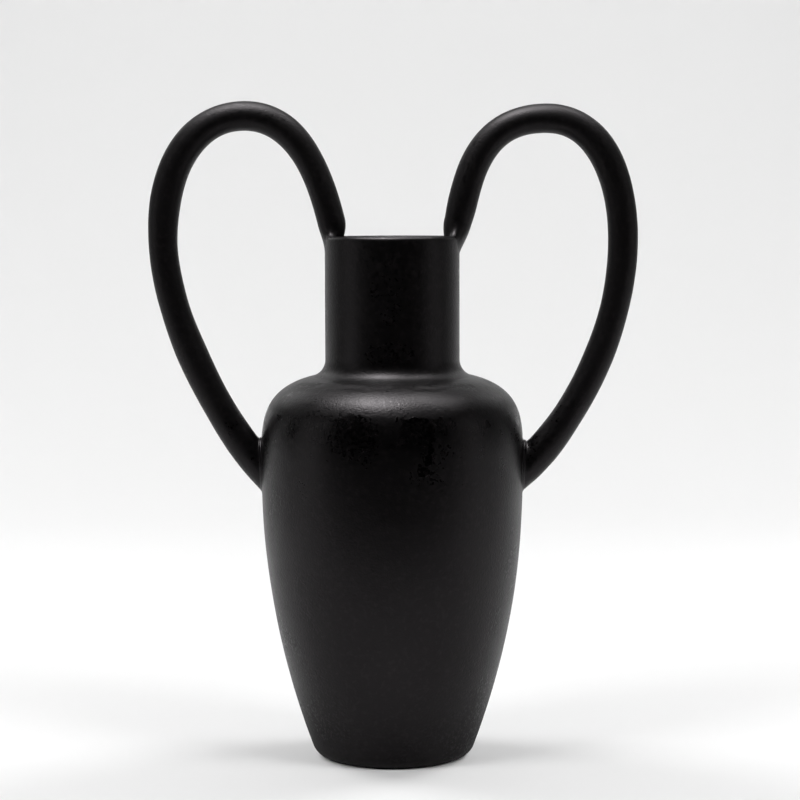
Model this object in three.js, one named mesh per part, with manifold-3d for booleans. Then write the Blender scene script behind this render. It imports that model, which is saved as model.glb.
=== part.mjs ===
// Tall ceramic vase of amphora shape with two looped rod handles.
// Millimetres, +Z up. The origin is the middle of the foot, on the surface the vase stands on,
// and the handles lie in the XZ plane.

import * as THREE from 'three';
import { mergeVertices } from 'three/addons/utils/BufferGeometryUtils.js';
import Module from 'manifold-3d';

const wasm = await Module();
wasm.setup();

// Foot and floor
const FOOT_RADIUS = 35.5;
const FOOT_ROUNDING = 8.8;
const FOOT_RING_WIDTH = 9;
const FOOT_RECESS = 1.2;
const RECESS_BEVEL = 1.5;
const FLOOR_THICKNESS = 6;

// Body wall. A reach is how far the wall runs on in its end direction before it curves away.
const WALL = 5;
const LOWER_LEAN = THREE.MathUtils.degToRad(20.3);
const LOWER_REACH = 76.5;
const BELLY_RADIUS = 70.4;
const BELLY_HEIGHT = 163.6;
const BELLY_REACH_BELOW = 31.5;
const BELLY_REACH_ABOVE = 17.9;
const SHOULDER_RISE = 41.8;
const SHOULDER_SLOPE = THREE.MathUtils.degToRad(14.8);
const SHOULDER_REACH = 26.3;
const SHOULDER_LEDGE = 1.8;

// Neck, and the fillet of the coil that joins it to the shoulder
const NECK_RADIUS = 36.15;
const NECK_LENGTH = 65.9;
const NECK_FILLET = 9.3;
const LIP_ROUNDING = 2.4;

// Handles. Each is one rod, bent in the XZ plane from the saddle on the rim, over the apex and
// the outermost point, down to the wall of the belly. Heights count from the rim or the belly,
// and distances across from the middle of the neck's wall or from its outside.
const ROD_RADIUS = 8.1;
const HANDLES = {
  left: {
    side: -1,
    footShift: -1.1,
    footAngle: THREE.MathUtils.degToRad(76.4),
    footReach: 30.5,
    apexAcross: 42.5,
    apexRise: 64.1,
    apexReachIn: 26.5,
    apexReachOut: 26.8,
    spread: 86.4,
    spreadRise: -0.1,
    spreadReachUp: 38.3,
    spreadReachDown: 48.1,
    landingDrop: 6.7,
    landingAngle: THREE.MathUtils.degToRad(46.1),
    landingReach: 23.1,
  },
  right: {
    side: 1,
    footShift: 1.8,
    footAngle: THREE.MathUtils.degToRad(74.2),
    footReach: 17.2,
    apexAcross: 46.1,
    apexRise: 62.4,
    apexReachIn: 39.1,
    apexReachOut: 30.8,
    spread: 87.4,
    spreadRise: -2.5,
    spreadReachUp: 30.1,
    spreadReachDown: 58,
    landingDrop: 7.9,
    landingAngle: THREE.MathUtils.degToRad(37.8),
    landingReach: 21.8,
  },
};
const ROD_PAST_ENDS = 2 * ROD_RADIUS;

// Saddle of clay on the rim under each handle. It laps over the lip by a drop on each face of the
// neck, and the corner of its fall is a share of its height below the rod.
const SADDLE_HEIGHT = 8;
const SADDLE_CORNER_SHARE = 0.8;
const SADDLE_DROP_OUT = 7.6;
const SADDLE_DROP_IN = 13;
const SADDLE_FLARE = 4;
const SADDLE_HEART_SHARE = 0.9;
const SADDLE_THICKNESS = 1.1;

// Collar of clay round each lower end, and the thickness that saddles and collars thin out to
const COLLAR_ON_ROD = 4;
const COLLAR_ON_WALL = 3.5;
const COLLAR_SEARCH = 6 * ROD_RADIUS;
const LUTING_EDGE = 0.8;

// Clearance between faces that are cut to each other, and how fine the facets are
const GAP = 0.3;
const ROUND_SEGMENTS = 48;
const ROD_SIDES = 16;
const ROD_STEPS = 46;
const LIP_STEPS = 4;
const SADDLE_SIDES = 2 * ROD_SIDES;
const SADDLE_LEVELS = 5;
const COLLAR_BENDS = 4;
const HALVINGS = 24;
const SLOPE_STEP = 0.5;
const TOUCHING = 1e-3;

const glaze = new THREE.MeshStandardMaterial({ color: 0x1c1b1b, roughness: 0.48, metalness: 0 });
const bareClay = new THREE.MeshStandardMaterial({ color: 0x3a3531, roughness: 0.9, metalness: 0 });

// Heights that follow from the sizes above
const shoulderHeight = BELLY_HEIGHT + SHOULDER_RISE;
const filletStartHeight = shoulderHeight + SHOULDER_LEDGE * Math.sin(SHOULDER_SLOPE);
const filletEndHeight = filletStartHeight + NECK_FILLET * Math.cos(SHOULDER_SLOPE);
const rimHeight = filletEndHeight + NECK_LENGTH;
const neckMiddle = NECK_RADIUS - WALL / 2;

// The rim's flat part and its rounding, both measured from the rim's middle along its surface
const lipFlat = WALL / 2 - LIP_ROUNDING;
const lipQuarter = (Math.PI / 2) * LIP_ROUNDING;

const point = (radius, height) => new THREE.Vector2(radius, height);

// Points of an arc of the profile, from one angle to another about a centre
function arcPoints(centre, radius, from, to, steps) {
  const points = [];
  for (let i = 0; i <= steps; i += 1) {
    const angle = from + ((to - from) * i) / steps;
    points.push(point(centre.x + radius * Math.cos(angle), centre.y + radius * Math.sin(angle)));
  }
  return points;
}

// Points of one curved stretch of the wall, moved sideways by an outset that may be negative
function stretchPoints(curve, outset, steps) {
  const points = [];
  for (let i = 0; i <= steps; i += 1) {
    const t = i / steps;
    const along = curve.getTangent(t);
    points.push(curve.getPoint(t).add(point(along.y, -along.x).multiplyScalar(outset)));
  }
  return points;
}

// The thrown profile from the foot up to the rim: its outer face, moved outwards by outset.
// The inner face of the wall is the same profile with an outset of minus the wall.
function wallProfile(outset, steps) {
  const footCentre = point(FOOT_RADIUS, FOOT_ROUNDING);
  const footEnd = -LOWER_LEAN;
  const leanStart = point(
    FOOT_RADIUS + FOOT_ROUNDING * Math.cos(footEnd),
    FOOT_ROUNDING + FOOT_ROUNDING * Math.sin(footEnd),
  );
  const leanAlong = point(Math.sin(LOWER_LEAN), Math.cos(LOWER_LEAN));
  const belly = point(BELLY_RADIUS, BELLY_HEIGHT);
  const lower = new THREE.CubicBezierCurve(
    leanStart,
    leanStart.clone().addScaledVector(leanAlong, LOWER_REACH),
    point(belly.x, belly.y - BELLY_REACH_BELOW),
    belly,
  );
  const filletCentre = point(NECK_RADIUS + NECK_FILLET, filletEndHeight);
  const ledgeAlong = point(Math.cos(SHOULDER_SLOPE), -Math.sin(SHOULDER_SLOPE));
  const filletStart = point(
    filletCentre.x - NECK_FILLET * Math.sin(SHOULDER_SLOPE),
    filletStartHeight,
  );
  const shoulder = filletStart.clone().addScaledVector(ledgeAlong, SHOULDER_LEDGE);
  const upper = new THREE.CubicBezierCurve(
    belly,
    point(belly.x, belly.y + BELLY_REACH_ABOVE),
    shoulder.clone().addScaledVector(ledgeAlong, SHOULDER_REACH),
    shoulder,
  );
  const filletFrom = -Math.PI / 2 - SHOULDER_SLOPE;
  const rounding = FOOT_ROUNDING + outset;
  return [
    ...arcPoints(footCentre, rounding, -Math.PI / 2, footEnd, steps.foot),
    ...stretchPoints(lower, outset, steps.lower).slice(1),
    ...stretchPoints(upper, outset, steps.upper).slice(1),
    ...arcPoints(filletCentre, NECK_FILLET - outset, filletFrom, -Math.PI, steps.fillet),
    point(NECK_RADIUS + outset, rimHeight),
  ];
}

const FINE = { foot: 8, lower: 12, upper: 12, fillet: 5 };
const COARSE = { foot: 4, lower: 8, upper: 9, fillet: 5 };
const outerProfile = wallProfile(0, FINE);
const innerProfile = wallProfile(-WALL, COARSE);

// Radius of a rising profile at a height
function radiusAt(profile, height) {
  const next = profile.findIndex((p) => p.y > height);
  if (next < 0) return profile.at(-1).x;
  if (next === 0) return profile[0].x;
  const share = (height - profile[next - 1].y) / (profile[next].y - profile[next - 1].y);
  return THREE.MathUtils.lerp(profile[next - 1].x, profile[next].x, share);
}

// The stretch of a rising profile between two heights, with a point on each
function between(profile, low, high) {
  const inside = profile.filter((p) => p.y > low + TOUCHING && p.y < high - TOUCHING);
  return [point(radiusAt(profile, low), low), ...inside, point(radiusAt(profile, high), high)];
}

// A turned solid about the upright axis. Its outline starts and ends on the axis, or is a section
// that is closed by its own first point.
function turned(outline) {
  return new THREE.LatheGeometry(outline, ROUND_SEGMENTS).rotateX(Math.PI / 2);
}

function turnedRing(section) {
  return turned([...section, section[0]]);
}

// A band of the hollow wall between two heights, with flat faces at both
function wallBand(low, high) {
  const outside = between(outerProfile, low, high);
  return turnedRing([...outside, ...between(innerProfile, low, high).reverse()]);
}

// Floor: a thrown disc with the rounded foot edge, a flat foot ring and a shallow turned recess
function floorGeometry() {
  const recessRadius = FOOT_RADIUS - FOOT_RING_WIDTH;
  return turned([
    point(0, FOOT_RECESS),
    point(recessRadius - RECESS_BEVEL, FOOT_RECESS),
    point(recessRadius, 0),
    ...between(outerProfile, 0, FLOOR_THICKNESS),
    point(0, FLOOR_THICKNESS),
  ]);
}

// Neck with rounded lip, from the coil up to the rim; outset grows it on all faces but the lower
function neckOutline(outset, low) {
  const outer = NECK_RADIUS + outset;
  const inner = NECK_RADIUS - WALL - outset;
  const rounding = LIP_ROUNDING + outset;
  const top = rimHeight + outset;
  const quarter = Math.PI / 2;
  return [
    point(outer, low),
    ...arcPoints(point(outer - rounding, top - rounding), rounding, 0, quarter, LIP_STEPS),
    ...arcPoints(point(inner + rounding, top - rounding), rounding, quarter, Math.PI, LIP_STEPS),
    point(inner, low),
  ];
}

function toSolid(geometry) {
  const bare = geometry.clone();
  bare.deleteAttribute('normal');
  bare.deleteAttribute('uv');
  const merged = mergeVertices(bare, 1e-4);
  return new wasm.Manifold(new wasm.Mesh({
    numProp: 3,
    vertProperties: new Float32Array(merged.attributes.position.array),
    triVerts: new Uint32Array(merged.index.array),
  }));
}

function toGeometry(solid) {
  const mesh = solid.getMesh();
  const geometry = new THREE.BufferGeometry();
  geometry.setAttribute('position', new THREE.BufferAttribute(mesh.vertProperties, 3));
  geometry.setIndex(new THREE.BufferAttribute(mesh.triVerts, 1));
  geometry.computeVertexNormals();
  return geometry;
}

// A closed skin over rings of points, each ring with as many points as the others. The first and
// last ring are closed by a fan, or, in a loop, joined to each other. Rings listed the other way
// round give the same skin, because its triangles are turned to face outwards.
function skin(rings, looped) {
  const count = rings[0].length;
  const points = rings.flat();
  const triangles = [];
  const bands = looped ? rings.length : rings.length - 1;
  for (let row = 0; row < bands; row += 1) {
    for (let i = 0; i < count; i += 1) {
      const a = row * count + i;
      const b = row * count + ((i + 1) % count);
      const above = ((row + 1) % rings.length) * count;
      const c = above + i;
      const d = above + ((i + 1) % count);
      triangles.push(a, b, d, a, d, c);
    }
  }
  if (!looped) {
    for (const [start, flipped] of [[0, true], [(rings.length - 1) * count, false]]) {
      const middle = new THREE.Vector3();
      for (let i = 0; i < count; i += 1) middle.addScaledVector(points[start + i], 1 / count);
      points.push(middle);
      for (let i = 0; i < count; i += 1) {
        const a = start + i;
        const b = start + ((i + 1) % count);
        triangles.push(...(flipped ? [b, a, points.length - 1] : [a, b, points.length - 1]));
      }
    }
  }
  let volume = 0;
  for (let i = 0; i < triangles.length; i += 3) {
    const [a, b, c] = triangles.slice(i, i + 3).map((index) => points[index]);
    volume += a.dot(b.clone().cross(c)) / 6;
  }
  if (volume < 0) triangles.reverse();
  const geometry = new THREE.BufferGeometry().setFromPoints(points);
  geometry.setIndex(triangles);
  geometry.computeVertexNormals();
  return geometry;
}

// Centre line of one handle on its own side, seen with that side as +X
function handlePath(handle) {
  const at = (across, height) => new THREE.Vector3(handle.side * across, 0, height);
  const foot = at(neckMiddle + handle.footShift, rimHeight + SADDLE_HEIGHT);
  const footAlong = at(Math.cos(handle.footAngle), Math.sin(handle.footAngle));
  const apex = at(NECK_RADIUS + handle.apexAcross, rimHeight + handle.apexRise);
  const outermost = at(NECK_RADIUS + handle.spread, rimHeight + handle.spreadRise);
  const landingHeight = BELLY_HEIGHT - handle.landingDrop;
  const landing = at(radiusAt(outerProfile, landingHeight), landingHeight);
  const inwards = at(-Math.cos(handle.landingAngle), -Math.sin(handle.landingAngle));
  const across = at(1, 0);
  const down = at(0, -1);
  const path = new THREE.CurvePath();
  path.add(new THREE.LineCurve3(foot.clone().addScaledVector(footAlong, -ROD_PAST_ENDS), foot));
  path.add(new THREE.CubicBezierCurve3(
    foot,
    foot.clone().addScaledVector(footAlong, handle.footReach),
    apex.clone().addScaledVector(across, -handle.apexReachIn),
    apex,
  ));
  path.add(new THREE.CubicBezierCurve3(
    apex,
    apex.clone().addScaledVector(across, handle.apexReachOut),
    outermost.clone().addScaledVector(down, -handle.spreadReachUp),
    outermost,
  ));
  path.add(new THREE.CubicBezierCurve3(
    outermost,
    outermost.clone().addScaledVector(down, handle.spreadReachDown),
    landing.clone().addScaledVector(inwards, -handle.landingReach),
    landing,
  ));
  const end = landing.clone().addScaledVector(inwards, ROD_PAST_ENDS);
  path.add(new THREE.LineCurve3(landing, end));
  return { path, foot };
}

// The rod of one handle: a round bar along its path, cut level where it stands on the saddle and
// cut to the wall, with a gap, at its lower end. A full circle gets two sides a curve segment.
function rodGeometry(handle) {
  const { path } = handlePath(handle);
  const section = new THREE.Shape().absarc(0, 0, ROD_RADIUS, 0, 2 * Math.PI);
  const bar = toSolid(new THREE.ExtrudeGeometry(section, {
    extrudePath: path,
    steps: ROD_STEPS,
    curveSegments: ROD_SIDES / 2,
  }));
  const grownWall = wallProfile(GAP, FINE);
  const wall = toSolid(turned([
    point(0, grownWall[0].y),
    ...grownWall,
    point(0, grownWall.at(-1).y),
  ]));
  const blockSize = 2 * ROD_PAST_ENDS;
  const block = new THREE.BoxGeometry(2 * NECK_RADIUS, blockSize, blockSize);
  block.translate(handle.side * neckMiddle, 0, rimHeight + SADDLE_HEIGHT - blockSize / 2);
  return toGeometry(bar.subtract(wall).subtract(toSolid(block)));
}

// A point on the lip of the neck, lifted off it by outset. The turn goes round the neck's axis,
// and the slide runs from the middle of the rim out and down, or in and down where negative.
function lipPoint(side, turn, slide, outset) {
  const way = Math.sign(slide);
  const run = Math.abs(slide);
  const bend = THREE.MathUtils.clamp((run - lipFlat) / LIP_ROUNDING, 0, Math.PI / 2);
  const out = Math.min(run, lipFlat) + (LIP_ROUNDING + outset) * Math.sin(bend);
  const drop = Math.max(run - lipFlat - lipQuarter, 0);
  const radius = neckMiddle + way * out;
  const height = rimHeight - LIP_ROUNDING + (LIP_ROUNDING + outset) * Math.cos(bend) - drop;
  return new THREE.Vector3(side * radius * Math.cos(turn), radius * Math.sin(turn), height);
}

// The point itself, or, where the saddle would get too thin for its facets, moved off the lip
function offLip(p) {
  const radius = Math.hypot(p.x, p.y);
  const core = point(
    THREE.MathUtils.clamp(radius, neckMiddle - lipFlat, neckMiddle + lipFlat),
    Math.min(p.z, rimHeight - LIP_ROUNDING),
  );
  const away = point(radius, p.z).sub(core);
  const place = core.add(away.clampLength(LIP_ROUNDING + SADDLE_THICKNESS, Infinity));
  const share = place.x / radius;
  return new THREE.Vector3(p.x * share, p.y * share, place.y);
}

// Saddle: the rod's pressed-on foot, which narrows from the rod's end to the rim and laps over the
// lip, down the outside and the inside of the neck
function saddleGeometry(handle) {
  const { foot } = handlePath(handle);
  const wide = ROD_RADIUS / Math.sin(handle.footAngle);
  const slideOut = lipFlat + lipQuarter + SADDLE_DROP_OUT;
  const slideIn = lipFlat + lipQuarter + SADDLE_DROP_IN;
  const turnEnd = (ROD_RADIUS + SADDLE_FLARE) / neckMiddle;
  const fall = new THREE.Vector3(-handle.side * Math.cos(handle.footAngle), 0, -1);
  const rings = Array.from({ length: SADDLE_LEVELS + 1 }, () => []);
  for (let i = 0; i < SADDLE_SIDES; i += 1) {
    const angle = (2 * Math.PI * i) / SADDLE_SIDES;
    const across = Math.cos(angle);
    const top = foot.clone().add(
      new THREE.Vector3(handle.side * wide * across, ROD_RADIUS * Math.sin(angle), 0),
    );
    const slide = across * (across > 0 ? slideOut : slideIn);
    const end = lipPoint(handle.side, turnEnd * Math.sin(angle), slide, LUTING_EDGE);
    const corner = top.clone().addScaledVector(fall, SADDLE_HEIGHT * SADDLE_CORNER_SHARE);
    const curve = new THREE.QuadraticBezierCurve3(top, corner, end);
    const points = curve.getPoints(SADDLE_LEVELS);
    points.slice(0, -1).forEach((p, level) => rings[level].push(offLip(p)));
    rings[SADDLE_LEVELS].push(points[SADDLE_LEVELS]);
  }
  const heart = new THREE.Vector3(handle.side * neckMiddle, 0, rimHeight - SADDLE_DROP_OUT / 2);
  rings.push(rings.at(-1).map((p) => p.clone().lerp(heart, SADDLE_HEART_SHARE)));
  const blank = toSolid(skin(rings, false));
  const lip = toSolid(turnedRing(neckOutline(GAP, filletEndHeight)));
  return toGeometry(blank.subtract(lip));
}

// A point on the outer face of the wall nearest to a given point, lifted off it by outset
function onWall(near, outset) {
  const radius = radiusAt(outerProfile, near.z);
  const above = radiusAt(outerProfile, near.z + SLOPE_STEP);
  const below = radiusAt(outerProfile, near.z - SLOPE_STEP);
  const slope = Math.atan2(above - below, 2 * SLOPE_STEP);
  const turn = Math.atan2(near.y, near.x);
  const out = radius + outset / Math.cos(slope);
  return new THREE.Vector3(out * Math.cos(turn), out * Math.sin(turn), near.z);
}

// Collar: a ring of clay in the corner between the rod's lower end and the wall. Its section is
// worked out for each side of the rod, where that side meets the wall.
function collarGeometry(handle) {
  const { path } = handlePath(handle);
  const sideways = new THREE.Vector3(0, 1, 0);
  const inner = ROD_RADIUS + GAP;
  const outer = ROD_RADIUS + GAP + LUTING_EDGE;
  const length = path.getLength();
  const onRod = (run, angle, radius) => {
    const u = run / length;
    const upright = new THREE.Vector3().crossVectors(sideways, path.getTangentAt(u));
    return path.getPointAt(u)
      .addScaledVector(upright, radius * Math.cos(angle))
      .addScaledVector(sideways, radius * Math.sin(angle));
  };
  const clearOfWall = (p) => Math.hypot(p.x, p.y) > radiusAt(outerProfile, p.z) + GAP;
  const sections = [];
  for (let i = 0; i < ROD_SIDES; i += 1) {
    const angle = (2 * Math.PI * i) / ROD_SIDES;
    let low = length - COLLAR_SEARCH;
    let high = length;
    for (let halving = 0; halving < HALVINGS; halving += 1) {
      const middle = (low + high) / 2;
      if (clearOfWall(onRod(middle, angle, inner))) low = middle;
      else high = middle;
    }
    const corner = onRod(low, angle, inner);
    const start = onRod(low - COLLAR_ON_ROD, angle, inner);
    const startEdge = onRod(low - COLLAR_ON_ROD, angle, outer);
    const away = startEdge.clone().sub(start).normalize();
    const outward = new THREE.Vector3(corner.x, corner.y, 0).normalize();
    away.addScaledVector(outward, -away.dot(outward)).normalize();
    const end = corner.clone().addScaledVector(away, COLLAR_ON_WALL);
    const bend = onWall(corner.clone().addScaledVector(away, LUTING_EDGE), GAP + LUTING_EDGE);
    const curve = new THREE.QuadraticBezierCurve3(startEdge, bend, onWall(end, GAP + LUTING_EDGE));
    sections.push([corner, start, ...curve.getPoints(COLLAR_BENDS), onWall(end, GAP)]);
  }
  return skin(sections, true);
}

function piece(name, geometry, material) {
  const mesh = new THREE.Mesh(geometry, material);
  mesh.name = name;
  return mesh;
}

const vase = new THREE.Group();
vase.add(
  piece('base_floor', floorGeometry(), bareClay),
  piece('body_wall', wallBand(FLOOR_THICKNESS, filletStartHeight), glaze),
  piece('neck_join_coil', wallBand(filletStartHeight, filletEndHeight), glaze),
  piece('neck_collar', turnedRing(neckOutline(0, filletEndHeight)), glaze),
);
for (const [name, handle] of Object.entries(HANDLES)) {
  vase.add(
    piece(`${name}_handle`, rodGeometry(handle), glaze),
    piece(`${name}_upper_join`, saddleGeometry(handle), glaze),
    piece(`${name}_lower_join`, collarGeometry(handle), glaze),
  );
}

export default vase;
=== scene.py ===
# %% [markdown]
# # A black two-handled vase
# This lesson dresses a finished CAD model of a ceramic vase. The CAD model says where each clay
# piece is and how large it is. Blender adds the fine surface: round walls without facets, soft
# joints where the potter smoothed the clay, and a satin black glaze with a sandy grain.
#
# The first cell loads the CAD model as a fixed frame; the boxes of its pieces give some sizes
# below.

# %% Load the CAD frame
import math

import bmesh
import bpy
import numpy as np
from mathutils import Euler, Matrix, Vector


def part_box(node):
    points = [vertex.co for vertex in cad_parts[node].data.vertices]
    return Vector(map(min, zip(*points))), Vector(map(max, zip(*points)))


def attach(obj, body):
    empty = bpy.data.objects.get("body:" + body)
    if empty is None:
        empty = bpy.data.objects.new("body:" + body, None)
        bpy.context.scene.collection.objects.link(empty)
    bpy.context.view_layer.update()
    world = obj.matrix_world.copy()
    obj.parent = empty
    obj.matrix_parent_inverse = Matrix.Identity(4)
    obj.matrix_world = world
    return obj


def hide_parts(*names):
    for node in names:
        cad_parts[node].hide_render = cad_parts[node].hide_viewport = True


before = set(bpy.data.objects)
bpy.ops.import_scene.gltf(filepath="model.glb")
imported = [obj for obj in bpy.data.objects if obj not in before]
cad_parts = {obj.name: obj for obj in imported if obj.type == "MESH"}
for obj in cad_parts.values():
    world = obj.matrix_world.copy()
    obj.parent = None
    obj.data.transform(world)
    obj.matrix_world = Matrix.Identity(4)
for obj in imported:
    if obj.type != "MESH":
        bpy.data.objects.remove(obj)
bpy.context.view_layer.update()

MM = 0.001
print("pieces in the frame:", sorted(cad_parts))

# %% [markdown]
# ## Camera
# The camera comes first, because every look at the work goes through it. It stands a little above
# the rim, some way off, with a long lens, which is how a catalogue picture of a vase is taken: the
# mouth shows as a thin ellipse and the two sides stay nearly parallel. It looks down by a few
# degrees, and it leans by a hair, as the hand-levelled tripod did.

# %% Camera
CAMERA_PLACE = Vector((4.0, -1379.0, 315.0)) * MM
CAMERA_LENS = 115.93
CAMERA_SENSOR = 36.0
CAMERA_PITCH = math.radians(5.063)
CAMERA_ROLL = math.radians(-0.173)
CAMERA_SEES = (50.0 * MM, 30000.0 * MM)


def make_camera():
    data = bpy.data.cameras.new("camera")
    data.lens = CAMERA_LENS
    data.sensor_width = CAMERA_SENSOR
    data.clip_start, data.clip_end = CAMERA_SEES
    camera = bpy.data.objects.new("camera", data)
    bpy.context.scene.collection.objects.link(camera)
    camera.location = CAMERA_PLACE
    level = Euler((math.pi / 2 - CAMERA_PITCH, 0.0, 0.0)).to_matrix()
    roll = Euler((0.0, 0.0, CAMERA_ROLL)).to_matrix()
    camera.rotation_euler = (level @ roll).to_euler()
    bpy.context.scene.camera = camera
    return camera


camera = make_camera()
print("camera at", tuple(round(v, 3) for v in camera.location))

# %% [markdown]
# ## The sizes that the pieces share
# The walls, the lip and the handles meet each other, so their sizes are written once. They are the
# sizes that the CAD model was built from, in millimetres. What the frame can tell, such as the
# rim's height, is read from it.

# %% Shared sizes
FOOT_RADIUS = 35.5
FOOT_ROUNDING = 8.8
FOOT_RING_WIDTH = 9.0
FOOT_RECESS = 1.2
RECESS_RADIUS = FOOT_RADIUS - FOOT_RING_WIDTH
RECESS_BEVEL = 1.5
WALL = 5.0
LOWER_LEAN = math.radians(20.3)
LOWER_REACH = 76.5
BELLY_HEIGHT = 163.6
BELLY_REACH_BELOW = 31.5
BELLY_REACH_ABOVE = 17.9
SHOULDER_SLOPE = math.radians(14.8)
SHOULDER_REACH = 26.3
SHOULDER_LEDGE = 1.8
NECK_FILLET = 9.3
LIP_ROUNDING = 2.4
SADDLE_HEIGHT = 8.0

FLOOR_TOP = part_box("base_floor")[1].z / MM
BELLY_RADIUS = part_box("body_wall")[1].x / MM
COIL_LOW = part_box("neck_join_coil")[0].z / MM
COIL_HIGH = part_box("neck_join_coil")[1].z / MM
NECK_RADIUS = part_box("neck_collar")[1].x / MM
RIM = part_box("neck_collar")[1].z / MM
NECK_MIDDLE = NECK_RADIUS - WALL / 2
print(f"rim {RIM:.1f} high, neck {NECK_RADIUS:.1f} and belly {BELLY_RADIUS:.1f} in radius")

# %% [markdown]
# ## The thrown profile
# A pot from the wheel is one outline turned round an axis. We could model it by hand with a
# subdivision cage, but the outline is simple geometry: an arc at the foot, two Bezier curves for
# the long wall and the shoulder, and an arc where the neck rises. The inner face is the same
# outline moved inwards by the wall's thickness, so the wall is even, as good throwing leaves it.

# %% The wall's outline
FOOT_STEPS = 24
WALL_STEPS = 90
FILLET_STEPS = 20
SAME_HEIGHT = 0.01


def bezier(p0, p1, p2, p3, steps):
    """Points on a cubic curve, and the unit vectors along it."""
    t = np.linspace(0.0, 1.0, steps + 1)[:, None]
    p0, p1, p2, p3 = (np.array(p, float) for p in (p0, p1, p2, p3))
    u = 1 - t
    place = u**3 * p0 + 3 * u * u * t * p1 + 3 * u * t * t * p2 + t**3 * p3
    along = u * u * (p1 - p0) + 2 * u * t * (p2 - p1) + t * t * (p3 - p2)
    return place, along / np.linalg.norm(along, axis=1)[:, None]


def arc(centre, radius, start, end, steps):
    angles = np.linspace(start, end, steps + 1)
    return np.stack([centre[0] + radius * np.cos(angles), centre[1] + radius * np.sin(angles)], 1)


def wall_outline(outset):
    """The outline from the foot to the rim, moved outwards by outset, as rows of radius, height."""
    foot_end = -LOWER_LEAN
    rise = np.array([math.sin(LOWER_LEAN), math.cos(LOWER_LEAN)])
    lean_start = np.array([FOOT_RADIUS, FOOT_ROUNDING]) + FOOT_ROUNDING * np.array(
        [math.cos(foot_end), math.sin(foot_end)]
    )
    fillet_centre = np.array([NECK_RADIUS + NECK_FILLET, COIL_HIGH])
    fillet_low = -math.pi / 2 - SHOULDER_SLOPE
    ledge = np.array([math.cos(SHOULDER_SLOPE), -math.sin(SHOULDER_SLOPE)])
    fillet_start = np.array([fillet_centre[0] - NECK_FILLET * math.sin(SHOULDER_SLOPE), COIL_LOW])
    shoulder = fillet_start + SHOULDER_LEDGE * ledge
    belly = np.array([BELLY_RADIUS, BELLY_HEIGHT])
    foot_arc = (FOOT_RADIUS, FOOT_ROUNDING), FOOT_ROUNDING + outset, -math.pi / 2, foot_end
    parts = [arc(*foot_arc, FOOT_STEPS)]
    for ends in (
        (lean_start, lean_start + LOWER_REACH * rise, belly - [0, BELLY_REACH_BELOW], belly),
        (belly, belly + [0, BELLY_REACH_ABOVE], shoulder + SHOULDER_REACH * ledge, shoulder),
    ):
        place, along = bezier(*ends, WALL_STEPS)
        parts.append((place + outset * np.stack([along[:, 1], -along[:, 0]], 1))[1:])
    parts.append(arc(fillet_centre, NECK_FILLET - outset, fillet_low, -math.pi, FILLET_STEPS))
    parts.append(np.array([[NECK_RADIUS + outset, RIM]]))
    return np.concatenate(parts)


def radius_at(outline, height):
    return np.interp(height, outline[:, 1], outline[:, 0])


def between(outline, low, high):
    """The part of the outline from one height to another, with a point at each end."""
    heights = outline[:, 1]
    inside = outline[(heights > low + SAME_HEIGHT) & (heights < high - SAME_HEIGHT)]
    ends = [[radius_at(outline, h), h] for h in (low, high)]
    return np.concatenate([ends[:1], inside, ends[1:]])


outer_wall = wall_outline(0.0)
inner_wall = wall_outline(-WALL)
print("outline points:", len(outer_wall), "widest", outer_wall[:, 0].max().round(1), "mm")

# %% [markdown]
# ## A helper for node trees
# Geometry and materials are both built from node trees here, and in code a tree is mostly
# bookkeeping: make a node, fill its inputs, link what comes from other nodes. A small class does
# that, so the trees below read from top to bottom like a recipe. Sizes go in as millimetres.


# %% Node helper
class Nodes:
    """Adds nodes to a tree, and links or fills their inputs."""

    def __init__(self, group):
        self.group = group

    def add(self, kind, inputs=None, **settings):
        node = self.group.nodes.new(kind)
        for key, value in settings.items():
            setattr(node, key, value)
        for key, value in (inputs or {}).items():
            if isinstance(value, bpy.types.NodeSocket):
                self.group.links.new(value, node.inputs[key])
            else:
                node.inputs[key].default_value = value
        return node

    def math(self, operation, a, b=0.0):
        return self.add("ShaderNodeMath", {0: a, 1: b}, operation=operation).outputs[0]

    def noise(self, place, size, detail=1.0, roughness=0.5):
        scale = 1.0 / (size * MM)
        inputs = {"Vector": place, "Scale": scale, "Detail": detail, "Roughness": roughness}
        return self.add("ShaderNodeTexNoise", inputs).outputs["Fac"]

    def swing(self, noise, width):
        """A noise that swings about zero, and is as wide as width."""
        return self.math("MULTIPLY", self.math("SUBTRACT", noise, 0.5), width)

    def remap(self, value, low, high, to_low=0.0, to_high=1.0):
        """A soft step from to_low to to_high while the value goes from low to high."""
        ends = {"From Min": low, "From Max": high, "To Min": to_low, "To Max": to_high}
        step = self.add(
            "ShaderNodeMapRange", {"Value": value, **ends}, interpolation_type="SMOOTHSTEP"
        )
        return step.outputs[0]

    def blend(self, factor, a, b, kind="FLOAT"):
        """Two values or colours mixed by a factor from 0 to 1."""
        inputs = {"Factor": factor, "A": a, "B": b}
        return self.add("ShaderNodeMix", inputs, data_type=kind).outputs["Result"]

    def layers(self, base, *layers):
        """The base plus each mask times its amount."""
        for mask, amount in layers:
            base = self.math("ADD", base, self.math("MULTIPLY", mask, amount))
        return base

    def distance(self, a, b):
        """The length of a step of a along one axis and b along another."""
        step = self.add("ShaderNodeCombineXYZ", {"X": a, "Y": b}).outputs[0]
        return self.add("ShaderNodeVectorMath", {0: step}, operation="LENGTH").outputs["Value"]


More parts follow.
